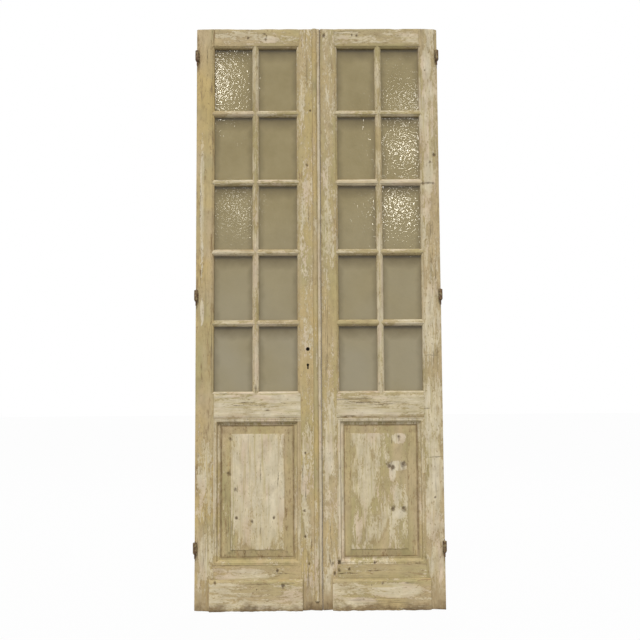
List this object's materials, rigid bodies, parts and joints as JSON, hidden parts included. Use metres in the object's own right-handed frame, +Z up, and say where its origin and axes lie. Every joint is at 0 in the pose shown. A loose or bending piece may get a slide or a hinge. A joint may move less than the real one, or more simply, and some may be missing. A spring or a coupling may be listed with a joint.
{
  "type": "french doors",
  "caption": "Pair of old French doors, each with divided glazing over a raised panel, hung on pin hinges, with a mortise lock in one leaf.",
  "frame": {"origin": "foot of the pair, midway between its sides and midway in its depth", "axes": "+X to the viewer's right, +Y to the back of the closed leaves, +Z up"},
  "size_m": [1.042, 0.0622, 2.45],
  "materials": {
    "painted_pine": "worn chipped paint on pine",
    "obscure_glass": "rippled obscure glass",
    "putty": "old dry putty",
    "hinge_iron": "rusty wrought iron",
    "screw_iron": "rusty screws",
    "lock_iron": "dull iron"
  },
  "bodies": {
    "hinge_pins": {"hinge_pins": "hinge_iron"},
    "left_leaf": {"left_hinge_stile": "painted_pine", "left_meeting_stile": "painted_pine", "left_top_rail": "painted_pine", "left_lock_rail": "painted_pine", "left_bottom_rail": "painted_pine", "left_upright_glazing_bar": "painted_pine", "left_cross_glazing_bar_1": "painted_pine", "left_cross_glazing_bar_2": "painted_pine", "left_cross_glazing_bar_3": "painted_pine", "left_cross_glazing_bar_4": "painted_pine", "left_pane_1a": "obscure_glass", "left_pane_1b": "obscure_glass", "left_pane_2a": "obscure_glass", "left_pane_2b": "obscure_glass", "left_pane_3a": "obscure_glass", "left_pane_3b": "obscure_glass", "left_pane_4a": "obscure_glass", "left_pane_4b": "obscure_glass", "left_pane_5a": "obscure_glass", "left_pane_5b": "obscure_glass", "left_glazing_putty": "putty", "left_raised_panel": "painted_pine", "left_panel_moulding": "painted_pine", "left_plinth_board": "painted_pine", "left_hinge_halves": "hinge_iron", "left_hinge_screws": "screw_iron", "left_astragal_bead": "painted_pine", "lock_case": "lock_iron"},
    "right_leaf": {"right_hinge_stile": "painted_pine", "right_meeting_stile": "painted_pine", "right_top_rail": "painted_pine", "right_lock_rail": "painted_pine", "right_bottom_rail": "painted_pine", "right_upright_glazing_bar": "painted_pine", "right_cross_glazing_bar_1": "painted_pine", "right_cross_glazing_bar_2": "painted_pine", "right_cross_glazing_bar_3": "painted_pine", "right_cross_glazing_bar_4": "painted_pine", "right_pane_1a": "obscure_glass", "right_pane_1b": "obscure_glass", "right_pane_2a": "obscure_glass", "right_pane_2b": "obscure_glass", "right_pane_3a": "obscure_glass", "right_pane_3b": "obscure_glass", "right_pane_4a": "obscure_glass", "right_pane_4b": "obscure_glass", "right_pane_5a": "obscure_glass", "right_pane_5b": "obscure_glass", "right_glazing_putty": "putty", "right_raised_panel": "painted_pine", "right_panel_moulding": "painted_pine", "right_plinth_board": "painted_pine", "right_hinge_halves": "hinge_iron", "right_hinge_screws": "screw_iron", "strike_plate": "lock_iron"},
    "lock_follower": {"lock_follower": "lock_iron"},
    "latch_bolt": {"latch_bolt": "lock_iron"},
    "dead_bolt": {"dead_bolt": "lock_iron"}
  },
  "joints": [
    {"name": "left_leaf_swing", "type": "hinge", "parent": "hinge_pins", "child": "left_leaf", "pos_m": [-0.5125, -0.0226, 1.298], "axis": [0, 0, -1], "range_deg": [0, 110]},
    {"name": "right_leaf_swing", "type": "hinge", "parent": "hinge_pins", "child": "right_leaf", "pos_m": [0.5125, -0.0226, 1.298], "axis": [0, 0, 1], "range_deg": [0, 110]},
    {"name": "follower_turn", "type": "hinge", "parent": "left_leaf", "child": "lock_follower", "pos_m": [-0.046, 0.0086, 1.071], "axis": [0, 1, 0], "range_deg": [0, 28.6]},
    {"name": "latch_slide", "type": "slide", "parent": "left_leaf", "child": "latch_bolt", "axis": [1, 0, 0], "range_m": [0, 0.01]},
    {"name": "dead_bolt_slide", "type": "slide", "parent": "left_leaf", "child": "dead_bolt", "axis": [1, 0, 0], "range_m": [0, 0.014]}
  ],
  "couplings": [
    {"joint": "latch_slide", "follows": "follower_turn", "m_per_rad": 0.02}
  ]
}
